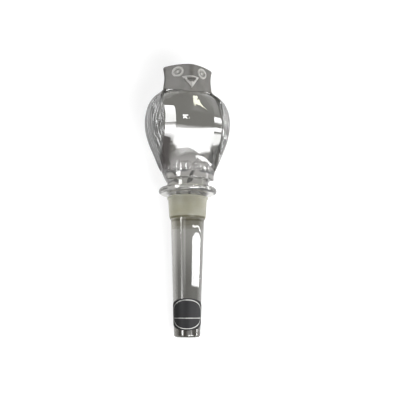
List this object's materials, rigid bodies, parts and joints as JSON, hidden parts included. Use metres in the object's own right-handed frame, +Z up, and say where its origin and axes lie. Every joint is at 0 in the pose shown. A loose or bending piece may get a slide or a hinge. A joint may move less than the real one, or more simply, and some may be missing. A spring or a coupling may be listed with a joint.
{
  "type": "owl-shaped glass decanter stopper",
  "caption": "Solid clear glass decanter stopper cut as an owl with a frosted head, on a round flange and a long tapered plug with a plastic sealing sleeve.",
  "frame": {"origin": "middle of the box on the surface that the stopper lies on", "axes": "+Z up out of the owl's front, +Y along the stopper from the plug's end to the owl's head, +X to the side"},
  "size_m": [0.0442, 0.139, 0.0346],
  "materials": {
    "clear_glass": "polished clear lead glass, satin frosted over the owl's head",
    "sleeve_plastic": "translucent, slightly yellowed soft plastic",
    "label_foil": "thin dark label with a pale ring and rule"
  },
  "bodies": {
    "root": {"glass_stopper": "clear_glass", "sealing_sleeve": "sleeve_plastic", "label": "label_foil"}
  },
  "joints": []
}
